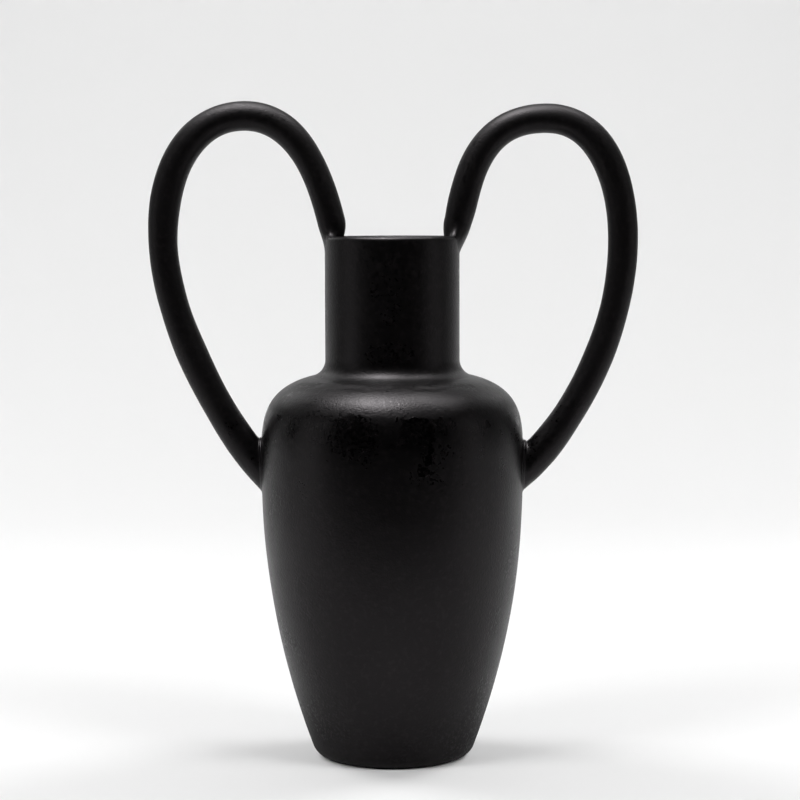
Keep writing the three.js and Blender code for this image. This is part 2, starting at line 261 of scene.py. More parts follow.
class Tree(Nodes):
    """A Geometry Nodes tree with named inputs, one geometry in and one out."""

    def __init__(self, name, inputs=()):
        super().__init__(bpy.data.node_groups.new(name, "GeometryNodeTree"))
        sockets = self.group.interface
        sockets.new_socket("Geometry", in_out="INPUT", socket_type="NodeSocketGeometry")
        for label, kind in inputs:
            sockets.new_socket(label, in_out="INPUT", socket_type=kind)
        sockets.new_socket("Geometry", in_out="OUTPUT", socket_type="NodeSocketGeometry")
        self.input = self.group.nodes.new("NodeGroupInput")
        self.output = self.group.nodes.new("NodeGroupOutput")

    def end(self, geometry, material):
        real = self.add("GeometryNodeRealizeInstances", {"Geometry": geometry}).outputs[0]
        done = self.add("GeometryNodeSetMaterial", {"Geometry": real, "Material": material})
        self.group.links.new(done.outputs[0], self.output.inputs[0])
        return self.group


print("node helper ready")

# %% [markdown]
# ## A lathe in Geometry Nodes
# Turning an outline round an axis is a rule, so a node tree does it. The tree makes a grid with one
# row for each point of the outline and one column for each step round the pot, reads the outline's
# point for the row, and swings it round by the column's angle. Merge by Distance closes the seam.
# One tree serves the floor, the wall, the coil and the neck, and each gets its own outline.

# %% The lathe tree
ROUND_STEPS = 256
SEAM = 0.01 * MM


def lathe_tree():
    tree = Tree("lathe", [("Steps round", "NodeSocketInt"), ("Material", "NodeSocketMaterial")])
    outline, steps = tree.input.outputs["Geometry"], tree.input.outputs["Steps round"]
    size = tree.add("GeometryNodeAttributeDomainSize", {"Geometry": outline})
    rows, columns = size.outputs["Point Count"], tree.math("ADD", steps, 1.0)
    grid = tree.add("GeometryNodeMeshGrid", {"Vertices X": rows, "Vertices Y": columns})
    index = tree.add("GeometryNodeInputIndex").outputs[0]
    row = tree.math("FLOOR", tree.math("DIVIDE", tree.math("ADD", index, 0.5), columns))
    column = tree.math("SUBTRACT", index, tree.math("MULTIPLY", row, columns))
    angle = tree.math("DIVIDE", tree.math("MULTIPLY", column, 2 * math.pi), steps)
    place = tree.add("GeometryNodeInputPosition").outputs[0]
    read = tree.add(
        "GeometryNodeSampleIndex",
        {"Geometry": outline, "Value": place, "Index": row},
        data_type="FLOAT_VECTOR",
    )
    point = tree.add("ShaderNodeSeparateXYZ", {0: read.outputs[0]})
    across, up = point.outputs["X"], point.outputs["Z"]
    turned = tree.add("ShaderNodeCombineXYZ", {
        "X": tree.math("MULTIPLY", across, tree.math("COSINE", angle)),
        "Y": tree.math("MULTIPLY", across, tree.math("SINE", angle)),
        "Z": up,
    })
    moved = tree.add(
        "GeometryNodeSetPosition", {"Geometry": grid.outputs["Mesh"], "Position": turned.outputs[0]}
    )
    closed = tree.add(
        "GeometryNodeMergeByDistance", {"Geometry": moved.outputs[0], "Distance": SEAM}
    )
    outward = tree.add("GeometryNodeFlipFaces", {"Mesh": closed.outputs[0]})
    return tree.end(outward.outputs[0], tree.input.outputs["Material"])


lathe = lathe_tree()
print("lathe tree with", len(lathe.nodes), "nodes")

# %% [markdown]
# ## The hand's marks as one field
# Clay from a wheel is never quite true. The wall swells and shrinks by a tenth of a millimetre or
# two, the rim leans a little, and the belly bows to one side. If each piece got its own noise, thin
# cracks would open at the seams. So the tree below is one field over space: where a point is says
# how far it moves, and all pieces go through it last. The swell only moves the wall inwards, and
# the lean and the bow are small enough to stay in the CAD box with it.

# %% The hand's field
SWELL = 0.22
SWELL_LENGTH = 36.0
SWELL_CALM = 20.0
BOW = 0.3
RIM_LEAN = 0.5
RIM_LEAN_DEPTH = 25.0
LEAN_ABOVE = 30.0


def hand_tree():
    tree = Tree("by_hand", [
        ("Swell", "NodeSocketFloat"), ("Lean", "NodeSocketFloat"), ("Bow", "NodeSocketFloat"),
        ("Material", "NodeSocketMaterial"),
    ])
    inputs = tree.input.outputs
    place = tree.add("GeometryNodeInputPosition").outputs[0]
    axes = tree.add("ShaderNodeSeparateXYZ", {0: place}).outputs
    radius = tree.distance(axes["X"], axes["Y"])
    inwards = tree.math("MULTIPLY", tree.noise(place, SWELL_LENGTH, 2.0), inputs["Swell"])
    share = tree.math("DIVIDE", inwards, tree.math("MAXIMUM", radius, SWELL_CALM * MM))
    share = tree.math("MULTIPLY", share, -1.0)
    below = tree.remap(axes["Z"], (RIM - RIM_LEAN_DEPTH) * MM, RIM * MM)
    above = tree.remap(axes["Z"], (RIM + SADDLE_HEIGHT) * MM, (RIM + LEAN_ABOVE) * MM, 1.0, 0.0)
    forward = tree.math("DIVIDE", axes["Y"], -NECK_RADIUS * MM)
    rise = tree.math("MULTIPLY", tree.math("MULTIPLY", below, above), inputs["Lean"])
    upper = tree.remap(axes["Z"], BELLY_HEIGHT * MM, COIL_LOW * MM, 1.0, 0.0)
    lower = tree.remap(axes["Z"], BELLY_HEIGHT / 2 * MM, (BELLY_HEIGHT - BELLY_REACH_BELOW) * MM)
    bow = tree.math("MULTIPLY", tree.math("MULTIPLY", upper, lower), inputs["Bow"])
    offset = tree.add("ShaderNodeCombineXYZ", {
        "X": tree.math("SUBTRACT", tree.math("MULTIPLY", axes["X"], share), bow),
        "Y": tree.math("MULTIPLY", axes["Y"], share),
        "Z": tree.math("MULTIPLY", rise, forward),
    })
    moved = tree.add(
        "GeometryNodeSetPosition", {"Geometry": inputs["Geometry"], "Offset": offset.outputs[0]}
    )
    return tree.end(moved.outputs[0], inputs["Material"])


by_hand = hand_tree()
print("field tree with", len(by_hand.nodes), "nodes")

# %% [markdown]
# ## The black glaze
# The glaze is a satin black, fired a little dry: it holds broad soft reflections and no sharp ones.
# A photo of glaze would fix the light in it, so we build it from noise and from what the potter
# did. Fine noise in the bump is the sandy grain. Wide noise in the roughness is where the coat ran
# thick or was wiped. A wavy line under the shoulder is where the second dip ended: below it the
# coat is smoother in patches, so it mirrors the dark front and looks blacker, and one thick run has
# trickled down to the right. Small pits are where bubbles burst in the kiln. A broken groove beside
# the coil is where the joint was pressed down. The rods and the lowest part of the wall came out
# drier. All of it reads object coordinates, so the pieces share one glaze with no break where they
# meet.

# %% Glaze sizes
GLAZE_DARK = (0.0006, 0.0005, 0.00055, 1.0)
GLAZE_PALE = (0.0034, 0.0028, 0.0030, 1.0)
GLAZE_TINT = (1.0, 0.93, 0.97, 1.0)
GLAZE_IOR = 1.3
SPECK_SIZE = 2.64
SPECKS = (0.5, 0.75)
GRAIN_SIZE = 1.2
GRAIN_DEPTH = 0.12
MOTTLE_SIZE = 3.2
MOTTLE_DEPTH = 0.03
MOTTLES = (0.55, 0.7)
MOTTLE_ROUGH = 0.06
DRIFT_SIZE = 26.0
DRIFT_ROUGH = (0.3, 0.7, 0.36, 0.43)

SPOT_EDGE = (0.5, 1.2)
FRONT_EDGE = (-30.0 * MM, -15.0 * MM)

DIP_HEIGHT = 190.5
DIP_WAVE = 12.0
DIP_WAVE_LENGTH = 17.0
DIP_EDGE = 1.2
DIP_FADE = 46.0
DIP_SMOOTH = 0.14
PATCH_SIZE = 12.8
PATCHES = (0.52, 0.6, 0.35, 1.0)
DIP_RUNS = ((-19.0, 180.0, 14.0, 13.0), (12.0, 182.0, 10.0, 14.0), (17.0, 167.0, 5.0, 14.0))
DIP_RUN_SHARE = 0.2

PRESSED_HEIGHT = 203.2
PRESSED_WOBBLE = 2.4
PRESSED_WOBBLE_LENGTH = 9.0
PRESSED_WIDTH = 1.7
PRESSED_DEPTH = 0.32
PRESSED_ROUGH = 0.12
PRESSED_BREAK_LENGTH = 13.0
PRESSED_BREAKS = (0.4, 0.6, 0.0, 0.5)
PRESSED_SPOTS = ((-23.0, 203.0, 12.0, 6.0), (22.0, 203.0, 11.0, 6.0))

PIT_SIZE = 1.7
PIT_DEPTH = 0.025
PIT_SMOOTH = 0.14
PIT_EDGE = (0.52, 0.61)
PITTED_DRIFT = (0.48, 0.58)
PITTED = ((-3.0, 252.0, 15.0, 25.0), (-2.0, 220.0, 20.0, 9.0), (-19.0, 180.0, 16.0, 16.0))

THICK_RUN = (
    (12.5, 188.0, 8.0, 1.7),
    (19.8, 181.5, 3.6, 7.5),
    (19.2, 174.0, 2.3, 5.0),
    (18.6, 167.5, 2.8, 5.5),
    (16.5, 161.0, 4.5, 3.6),
    (2.3, 188.5, 1.1, 3.0),
)
THICK_BEND = 7.0 * MM
THICK_BEND_LENGTH = 5.0
THICK_RAGGED = 1.6
THICK_RAGGED_SIZE = 2.0
THICK_EDGE = (1.45, 1.7)
THICK_DEPTH = 0.03
THICK_ROUGHNESS = 0.12

ROD_DRYNESS = 0.08
ROD_STARTS = (2.0, 10.0)
FOOT_DRYNESS = 0.3
FOOT_DRY_TO = 50.0
print("marks on the front:", len(DIP_RUNS + PRESSED_SPOTS + PITTED + THICK_RUN), "ovals")


# %% Glaze material
def new_material(name):
    material = bpy.data.materials.new(name)
    material.use_nodes = True
    return material, Nodes(material.node_tree)


def where(tree):
    """A point on the piece, its coordinates, its height in mm and its distance from the axis."""
    place = tree.add("ShaderNodeTexCoord").outputs["Object"]
    axes = tree.add("ShaderNodeSeparateXYZ", {0: place}).outputs
    return place, axes, tree.math("DIVIDE", axes["Z"], MM), tree.distance(axes["X"], axes["Y"])


def front_spots(tree, axes, spots):
    """Soft ovals on the front, given as x, z, half width and half height in mm."""
    inside = 0.0
    for across, up, half_width, half_height in spots:
        aside = tree.math("SUBTRACT", axes["X"], across * MM)
        away = tree.math("SUBTRACT", axes["Z"], up * MM)
        apart = tree.distance(
            tree.math("DIVIDE", aside, half_width * MM), tree.math("DIVIDE", away, half_height * MM)
        )
        inside = tree.math("MAXIMUM", tree.remap(apart, *SPOT_EDGE, 1.0, 0.0), inside)
    return tree.math("MULTIPLY", inside, tree.remap(axes["Y"], *FRONT_EDGE, 1.0, 0.0))


def dip_mask(tree, place, axes, height):
    """Where the coat is smoother, in patches below the line of the second dip."""
    wave = tree.swing(tree.noise(place, DIP_WAVE_LENGTH, 3.0), DIP_WAVE)
    dip = tree.math("ADD", height, wave)
    under = tree.remap(dip, DIP_HEIGHT - DIP_EDGE, DIP_HEIGHT, 1.0, 0.0)
    near = tree.remap(height, DIP_HEIGHT - DIP_FADE, DIP_HEIGHT)
    runs = front_spots(tree, axes, DIP_RUNS)
    patch = tree.layers(tree.noise(place, PATCH_SIZE, 2.0, 0.6), (runs, DIP_RUN_SHARE))
    return tree.math("MULTIPLY", tree.math("MULTIPLY", under, near), tree.remap(patch, *PATCHES))


def pressed_mask(tree, place, axes, height):
    """A broken line round the shoulder, just beside the coil."""
    wobble = tree.swing(tree.noise(place, PRESSED_WOBBLE_LENGTH, 2.0), PRESSED_WOBBLE)
    off = tree.math("SUBTRACT", tree.math("ADD", height, wobble), PRESSED_HEIGHT)
    line = tree.remap(tree.math("ABSOLUTE", off), 0.0, PRESSED_WIDTH, 1.0, 0.0)
    broken = tree.remap(tree.noise(place, PRESSED_BREAK_LENGTH), *PRESSED_BREAKS)
    broken = tree.math("MAXIMUM", broken, front_spots(tree, axes, PRESSED_SPOTS))
    return tree.math("MULTIPLY", line, broken)


def thick_mask(tree, place, axes):
    """The thick run: ovals bent by one noise, with an edge made ragged by another."""
    bend = tree.swing(tree.noise(place, THICK_BEND_LENGTH, 2.0, 0.6), THICK_BEND)
    bent = {
        "X": tree.math("ADD", axes["X"], bend),
        "Y": axes["Y"],
        "Z": tree.math("SUBTRACT", axes["Z"], bend),
    }
    ragged = tree.noise(place, THICK_RAGGED_SIZE, 3.0, 0.7)
    inside = tree.layers(front_spots(tree, bent, THICK_RUN), (ragged, THICK_RAGGED))
    return tree.remap(inside, *THICK_EDGE)


def glaze_parts(tree, place, axes, height, radius):
    """Colour, roughness and relief in mm of the glaze, as sockets."""
    mottle = tree.noise(place, MOTTLE_SIZE, 3.0, 0.65)
    drift = tree.noise(place, DRIFT_SIZE, 4.0, 0.6)
    far_out = tree.remap(radius, *((BELLY_RADIUS + step) * MM for step in ROD_STARTS))
    high_up = tree.remap(height, RIM, RIM + SADDLE_HEIGHT)
    on_rod = tree.math("MAXIMUM", far_out, high_up)
    on_body = tree.math("SUBTRACT", 1.0, on_rod)
    pressed = tree.math("MULTIPLY", pressed_mask(tree, place, axes, height), on_body)
    pitted = front_spots(tree, axes, PITTED)
    pitted = tree.math("MAXIMUM", tree.remap(drift, *PITTED_DRIFT), pitted)
    pits = tree.remap(tree.noise(place, PIT_SIZE, 2.0), *PIT_EDGE)
    pits = tree.math("MULTIPLY", pits, pitted)
    thick = thick_mask(tree, place, axes)

    specks = tree.remap(tree.noise(place, SPECK_SIZE), *SPECKS)
    colour = tree.blend(specks, GLAZE_DARK, GLAZE_PALE, "RGBA")
    rough = tree.layers(
        tree.remap(drift, *DRIFT_ROUGH),
        (tree.remap(mottle, *MOTTLES), MOTTLE_ROUGH),
        (dip_mask(tree, place, axes, height), -DIP_SMOOTH),
        (on_rod, ROD_DRYNESS),
        (tree.remap(height, 0.0, FOOT_DRY_TO, 1.0, 0.0), FOOT_DRYNESS),
        (pressed, PRESSED_ROUGH),
        (pits, -PIT_SMOOTH),
    )
    rough = tree.blend(thick, rough, THICK_ROUGHNESS)
    relief = tree.layers(
        0.0,
        (tree.noise(place, GRAIN_SIZE, 2.0, 0.6), GRAIN_DEPTH),
        (mottle, MOTTLE_DEPTH),
        (pressed, -PRESSED_DEPTH),
        (pits, -PIT_DEPTH),
        (thick, THICK_DEPTH),
    )
    return colour, rough, relief


def finish_material(tree, colour, rough, relief):
    shader = tree.group.nodes["Principled BSDF"]
    shader.inputs["IOR"].default_value = GLAZE_IOR
    shader.inputs["Specular Tint"].default_value = GLAZE_TINT
    bump = tree.add("ShaderNodeBump", {"Strength": 1.0, "Distance": MM, "Height": relief})
    for name, value in (("Base Color", colour), ("Roughness", rough), ("Normal", bump.outputs[0])):
        tree.group.links.new(value, shader.inputs[name])


def glaze_material():
    material, tree = new_material("satin_black_glaze")
    finish_material(tree, *glaze_parts(tree, *where(tree)))
    return material


glaze = glaze_material()
print(glaze.name, "with", len(glaze.node_tree.nodes), "nodes")

# %% [markdown]
# ## The bare foot
# A potter wipes the foot before firing, or the glaze would stick the pot to the kiln shelf. The
# glaze ends just above the ground in a slightly uneven line, and dark dry clay shows on the ring
# and in the recess. The foot's material is the glaze above that line and the clay below it.

# %% Foot material
BARE_CLAY = (0.022, 0.020, 0.018, 1.0)
BARE_CLAY_PALE = (0.045, 0.041, 0.037, 1.0)
BARE_ROUGHNESS = 0.85
GROG_SIZE = 1.1
GROG_SHOWS = (0.4, 0.7)
GROG_DEPTH = 0.12
WIPED_HEIGHT = 0.3
WIPED_EDGE = 0.2
WIPED_UNEVEN = 0.5
WIPED_LENGTH = 6.0
RECESS_HEIGHTS = (2.0, 3.0)


def foot_material():
    material, tree = new_material("wiped_foot")
    place, axes, height, radius = where(tree)
    colour, rough, relief = glaze_parts(tree, place, axes, height, radius)
    line = tree.layers(height, (tree.noise(place, WIPED_LENGTH, 2.0), WIPED_UNEVEN))
    low = tree.remap(line, WIPED_HEIGHT, WIPED_HEIGHT + WIPED_EDGE, 1.0, 0.0)
    within = tree.remap(radius, (RECESS_RADIUS - 1) * MM, RECESS_RADIUS * MM, 1.0, 0.0)
    under = tree.math("MULTIPLY", within, tree.remap(height, *RECESS_HEIGHTS, 1.0, 0.0))
    bare = tree.math("MAXIMUM", low, under)
    grog = tree.noise(place, GROG_SIZE, 3.0, 0.7)
    clay = tree.blend(tree.remap(grog, *GROG_SHOWS), BARE_CLAY, BARE_CLAY_PALE, "RGBA")
    colour = tree.blend(bare, colour, clay, "RGBA")
    rough = tree.blend(bare, rough, BARE_ROUGHNESS)
    relief = tree.layers(relief, (tree.math("MULTIPLY", grog, bare), GROG_DEPTH))
    finish_material(tree, colour, rough, relief)
    return material


bare_foot = foot_material()
print(bare_foot.name, "with", len(bare_foot.node_tree.nodes), "nodes")

# %% [markdown]
# ## From tree to finished piece
# A node tree is live: it would be worked out again at every change. Once a piece has its shape, we
# keep the result as a plain mesh, mark edges sharper than a soft bend, hang it under the vase's
# root and hide the CAD piece that it stands for.

# %% Making pieces
SHARP_BEND = math.radians(35)


def mesh_object(name, points, faces=()):
    mesh = bpy.data.meshes.new(name)
    mesh.from_pydata([tuple(p) for p in points], [], [tuple(f) for f in faces])
    made = bpy.data.objects.new(name, mesh)
    bpy.context.scene.collection.objects.link(made)
    return made


def run_tree(made, group, values):
    """Runs the tree on the object with the named inputs, and keeps what comes out as its mesh."""
    step = made.modifiers.new("tree", "NODES")
    step.node_group = group
    for socket in group.interface.items_tree:
        if socket.in_out == "INPUT" and socket.name in values:
            step[socket.identifier] = values[socket.name]
    graph = bpy.context.evaluated_depsgraph_get()
    mesh = bpy.data.meshes.new_from_object(made.evaluated_get(graph))
    result = bpy.data.objects.new(made.name, mesh)
    bpy.context.scene.collection.objects.link(result)
    name = made.name
    bpy.data.objects.remove(made)
    result.name = name
    return result


def dress(made, node, slot, material):
    """The last steps of each piece: the hand's field, smooth shading, its place in the frame."""
    values = {"Swell": SWELL * MM, "Lean": RIM_LEAN * MM, "Bow": BOW * MM, "Material": material}
    made = run_tree(made, by_hand, values)
    made.data.shade_smooth()
    made.data.set_sharp_from_angle(angle=SHARP_BEND)
    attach(made, "root")
    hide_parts(node)
    print(f"{made.name}: {len(made.data.polygons)} faces")


def turned(name, outline, material):
    """Rows of radius and height in mm, turned round the axis."""
    points = [(r * MM, 0.0, z * MM) for r, z in outline]
    values = {"Steps round": ROUND_STEPS, "Material": material}
    return run_tree(mesh_object(name, points), lathe, values)


def closed(outline):
    return np.concatenate([outline, outline[:1]])


print("a bend sharper than", round(math.degrees(SHARP_BEND)), "degrees is shaded as an edge")

# %% [markdown]
# ## Floor, wall, coil and neck
# A potter throws the body, throws or builds the neck, and joins them with a coil of soft clay that
# is worked into the corner. Under the glaze the joins vanish, so the outlines meet exactly: each
# piece starts on the last points of the one below it. The floor has a flat foot ring and a
# shallow recess, so that the vase stands on a ring and not on a disc that could rock.

# %% Turned pieces
NECK_ROWS = 40
LIP_STEPS = 8
LIP_MARGIN = 1.0


def wall_band(low, high):
    outside = between(outer_wall, low, high)
    inside = between(inner_wall, low, high)[::-1]
    return closed(np.concatenate([outside, inside]))


def floor_outline():
    under = [[0.0, FOOT_RECESS], [RECESS_RADIUS - RECESS_BEVEL, FOOT_RECESS], [RECESS_RADIUS, 0.0]]
    return np.concatenate([under, between(outer_wall, 0.0, FLOOR_TOP), [[0.0, FLOOR_TOP]]])


def neck_outline():
    inner = NECK_RADIUS - WALL
    top, quarter = RIM - LIP_ROUNDING, math.pi / 2
    heights = np.linspace(COIL_HIGH, top - LIP_MARGIN, NECK_ROWS)
    return closed(np.concatenate([
        [[NECK_RADIUS, z] for z in heights],
        arc((NECK_RADIUS - LIP_ROUNDING, top), LIP_ROUNDING, 0.0, quarter, LIP_STEPS),
        arc((inner + LIP_ROUNDING, top), LIP_ROUNDING, quarter, 2 * quarter, LIP_STEPS),
        [[inner, z] for z in heights[::-1]],
    ]))


for name, outline, material, node, slot in (
    ("floor", floor_outline(), bare_foot, "base_floor", "bare_foot"),
    ("wall", wall_band(FLOOR_TOP, COIL_LOW), glaze, "body_wall", "black_glaze"),
    ("neck_coil", wall_band(COIL_LOW, COIL_HIGH), glaze, "neck_join_coil", "black_glaze"),
    ("neck", neck_outline(), glaze, "neck_collar", "black_glaze"),
):
    dress(turned(name, outline, material), node, slot, material)

# %% [markdown]
# ## The handles' path
# Each handle is one rod that the potter rolled out and bent by hand. We follow its middle with
# three Bezier curves through places that mean something: the foot on the rim, the apex, the
# outermost point and the landing on the belly. The two handles have their own values, because two
# rods bent by hand are never quite alike.

# %% Handle paths
HANDLES = {
    "left": {
        "side": -1, "foot_shift": -1.1, "foot_angle": 76.4, "foot_reach": 30.5,
        "apex_across": 42.5, "apex_rise": 64.1, "apex_reach_in": 26.5, "apex_reach_out": 26.8,
        "spread": 86.4, "spread_rise": -0.1, "spread_reach_up": 38.3, "spread_reach_down": 48.1,
        "landing_drop": 6.7, "landing_angle": 46.1, "landing_reach": 23.1,
        "radii": (7.5, 7.5, 7.95, 7.9, 8.3, 8.35, 7.7, 7.8, 8.45, 8.2, 8.65, 9.2),
        "foot_pinch": 0.0, "arms_out": (0.42, 0.42), "crotch_fill": 0.3,
    },
    "right": {
        "side": 1, "foot_shift": 1.8, "foot_angle": 74.2, "foot_reach": 17.2,
        "apex_across": 46.1, "apex_rise": 62.4, "apex_reach_in": 39.1, "apex_reach_out": 30.8,
        "spread": 87.4, "spread_rise": -2.5, "spread_reach_up": 30.1, "spread_reach_down": 58.0,
        "landing_drop": 7.9, "landing_angle": 37.8, "landing_reach": 21.8,
        "radii": (8.0, 7.9, 7.65, 7.85, 8.3, 8.05, 8.0, 7.7, 7.95, 8.0, 8.8, 9.7),
        "foot_pinch": 0.6, "arms_out": (0.5, 0.16), "crotch_fill": 0.9,
    },
}
PATH_STEPS = 60
PINCH_LENGTH = 14.0
PAST_FOOT = 1.5
PAST_FOOT_TAPER = 0.4
PAST_LANDING = 16.0
PAST_LANDING_POINTS = 8


def eased(share, values):
    """Values that stand evenly along a path, with a soft change from each to the next."""
    place = np.clip(share, 0.0, 1.0) * (len(values) - 1)
    index = np.minimum(place.astype(int), len(values) - 2)
    ease = 0.5 - 0.5 * np.cos(math.pi * (place - index))
    values = np.array(values)
    return values[index] + ease * (values[index + 1] - values[index])


def handle_path(handle):
    """Points of the middle line in mm, with the handle's own side as +X, its radii and its run."""
    foot_angle = math.radians(handle["foot_angle"])
    land_angle = math.radians(handle["landing_angle"])
    foot = np.array([NECK_MIDDLE + handle["foot_shift"], RIM + SADDLE_HEIGHT])
    up = np.array([math.cos(foot_angle), math.sin(foot_angle)])
    apex = np.array([NECK_RADIUS + handle["apex_across"], RIM + handle["apex_rise"]])
    outermost = np.array([NECK_RADIUS + handle["spread"], RIM + handle["spread_rise"]])
    land_height = BELLY_HEIGHT - handle["landing_drop"]
    landing = np.array([radius_at(outer_wall, land_height), land_height])
    inwards = -np.array([math.cos(land_angle), math.sin(land_angle)])
    across, down = np.array([1.0, 0.0]), np.array([0.0, -1.0])
    spans = (
        (foot, foot + handle["foot_reach"] * up, apex - handle["apex_reach_in"] * across, apex),
        (apex, apex + handle["apex_reach_out"] * across,
         outermost - handle["spread_reach_up"] * down, outermost),
        (outermost, outermost + handle["spread_reach_down"] * down,
         landing - handle["landing_reach"] * inwards, landing),
    )
    line = np.concatenate([bezier(*span, PATH_STEPS)[0][:-1] for span in spans])
    steps = np.linspace(0.0, PAST_LANDING, PAST_LANDING_POINTS)[:, None]
    line = np.concatenate([[foot - PAST_FOOT * up], line, landing + steps * inwards])
    lengths = np.linalg.norm(np.diff(line, axis=0), axis=1)
    run = np.concatenate([[0.0], np.cumsum(lengths)]) - PAST_FOOT
    radii = eased(run / run[-1], handle["radii"])
    radii -= handle["foot_pinch"] * np.clip(1 - run / PINCH_LENGTH, 0.0, 1.0) ** 2
    radii[0] -= PAST_FOOT_TAPER
    return line, radii, run


for name, handle in HANDLES.items():
    print(name, "rod", round(handle_path(handle)[2][-1] - PAST_LANDING, 1), "mm long")

# %% [markdown]
# ## The rods in Geometry Nodes
# A rod that follows a path is what Curve to Mesh is for. A true tube would look made by machine, so
# the path carries its own radius, and a slow noise moves the skin in and out by a tenth of a
# millimetre or two, as rolling by hand leaves it. The lower end has to follow the wall, so the tree
# cuts it with a turned solid that reaches to the middle of the wall's thickness. The cut can leave
# a point with no face, and the last step before the material takes such points away.

# %% The rod tree
ROD_SIDES = 64
ROD_STEPS = 260
ROLLING_MARKS = 0.12
ROLLING_LENGTH = 30.0
MARKS_END = 36.0
MARKS_FADE = 14.0


def rod_tree():
    tree = Tree("rod", [
        ("Radius", "NodeSocketFloat"), ("Sides", "NodeSocketInt"), ("Marks", "NodeSocketFloat"),
        ("Wall", "NodeSocketObject"), ("Material", "NodeSocketMaterial"),
    ])
    inputs = tree.input.outputs
    own, marked = (
        tree.add("GeometryNodeInputNamedAttribute", {"Name": name}, data_type="FLOAT")
        for name in ("rod_radius", "rod_marks")
    )
    line = tree.add("GeometryNodeMeshToCurve", {"Mesh": inputs["Geometry"]})
    sized = tree.add("GeometryNodeSetCurveRadius", {
        "Curve": line.outputs[0],
        "Radius": tree.math("MULTIPLY", own.outputs["Attribute"], inputs["Radius"]),
    })
    circle = tree.add(
        "GeometryNodeCurvePrimitiveCircle", {"Resolution": inputs["Sides"], "Radius": 1.0}
    )
    sweep = tree.add("GeometryNodeCurveToMesh", {
        "Curve": sized.outputs[0],
        "Profile Curve": circle.outputs[0],
        "Scale": tree.add("GeometryNodeInputRadius").outputs[0],
        "Fill Caps": True,
    })
    place = tree.add("GeometryNodeInputPosition").outputs[0]
    depth = tree.math("MULTIPLY", marked.outputs["Attribute"], inputs["Marks"])
    out = tree.add("ShaderNodeVectorMath", {
        0: tree.add("GeometryNodeInputNormal").outputs[0],
        "Scale": tree.swing(tree.noise(place, ROLLING_LENGTH), depth),
    }, operation="SCALE")
    rolled = tree.add(
        "GeometryNodeSetPosition", {"Geometry": sweep.outputs[0], "Offset": out.outputs[0]}
    )
    wall = tree.add("GeometryNodeObjectInfo", {"Object": inputs["Wall"]})
    cut = tree.add("GeometryNodeMeshBoolean", {
        "Mesh 1": rolled.outputs[0], "Mesh 2": wall.outputs["Geometry"],
    }, operation="DIFFERENCE")
    faces = tree.add("GeometryNodeInputMeshVertexNeighbors").outputs["Face Count"]
    kept = tree.add("GeometryNodeDeleteGeometry", {
        "Geometry": cut.outputs[0], "Selection": tree.math("LESS_THAN", faces, 0.5),
    }, domain="POINT", mode="ALL")
    return tree.end(kept.outputs[0], inputs["Material"])


rod = rod_tree()
print("rod tree with", len(rod.nodes), "nodes")


# %% Rods
def wall_cutter():
    """A turned solid that fills the pot up to the middle of its wall, below the neck."""
    outline = wall_outline(-WALL / 2)
    outline = outline[outline[:, 1] < COIL_LOW]
    low, high = outline[0, 1], outline[-1, 1]
    outline = np.concatenate([[[0.0, low]], outline, [[0.0, high]]])
    return turned("wall_cutter", outline, glaze)


def make_rod(name, handle, cutter):
    line, radii, run = handle_path(handle)
    even = np.concatenate([run[:1], np.linspace(0.0, run[-1], ROD_STEPS)])
    across, up, radii = (np.interp(even, run, values) for values in (*line.T, radii))
    points = [(handle["side"] * x * MM, 0.0, z * MM) for x, z in zip(across, up)]
    made = mesh_object(f"{name}_rod", points)
    made.data.edges.add(len(points) - 1)
    for index, edge in enumerate(made.data.edges):
        edge.vertices = (index, index + 1)
    to_ends = np.minimum(even, run[-1] - MARKS_END - even)
    marks = np.clip(to_ends / MARKS_FADE, 0.0, 1.0)
    for label, values in (("rod_radius", radii * MM), ("rod_marks", marks)):
        made.data.attributes.new(label, "FLOAT", "POINT").data.foreach_set("value", values)
    values = {
        "Radius": 1.0, "Sides": ROD_SIDES, "Marks": 2 * ROLLING_MARKS * MM, "Wall": cutter,
        "Material": glaze,
    }
    dress(run_tree(made, rod, values), f"{name}_handle", "black_glaze", glaze)


cutter = wall_cutter()
for name, handle in HANDLES.items():
    make_rod(name, handle, cutter)
bpy.data.objects.remove(cutter)

# %% [markdown]
# ## Saddles on the rim
# The rod's foot is pressed onto the rim, and its clay is smoothed down over the lip, on the
# outside and on the inside. For each direction round the rod we draw one curve: it leaves the rod
# along the rod, and it lands on the lip along the lip. Side by side these curves make a skin that
# is smooth at both ends, which no fillet tool would give between a rod and a rounded edge.

# %% Skins made of curves
JOIN_SIDES = 64
JOIN_STEPS = 20
JOIN_ANGLES = [2 * math.pi * i / JOIN_SIDES for i in range(JOIN_SIDES)]


def unit(vector):
    return vector / np.linalg.norm(vector)


def skin(name, rings, looped):
    """A closed mesh over rings of points in mm. A loop joins the last ring to the first."""
    count, rows = len(rings[0]), len(rings)
    points = np.concatenate(rings) * MM
    faces = []
    for row in range(rows if looped else rows - 1):
        for i in range(count):
            j, above = (i + 1) % count, (row + 1) % rows
            faces.append((row * count + i, row * count + j, above * count + j, above * count + i))
    if not looped:
        faces.append(tuple(range(count)))
        faces.append(tuple((rows - 1) * count + i for i in range(count)))
    made = mesh_object(name, points, faces)
    made.data.materials.append(glaze)
    mesh = bmesh.new()
    mesh.from_mesh(made.data)
    bmesh.ops.recalc_face_normals(mesh, faces=mesh.faces)
    mesh.to_mesh(made.data)
    mesh.free()
    return made


print("curves round each join:", len(JOIN_ANGLES))

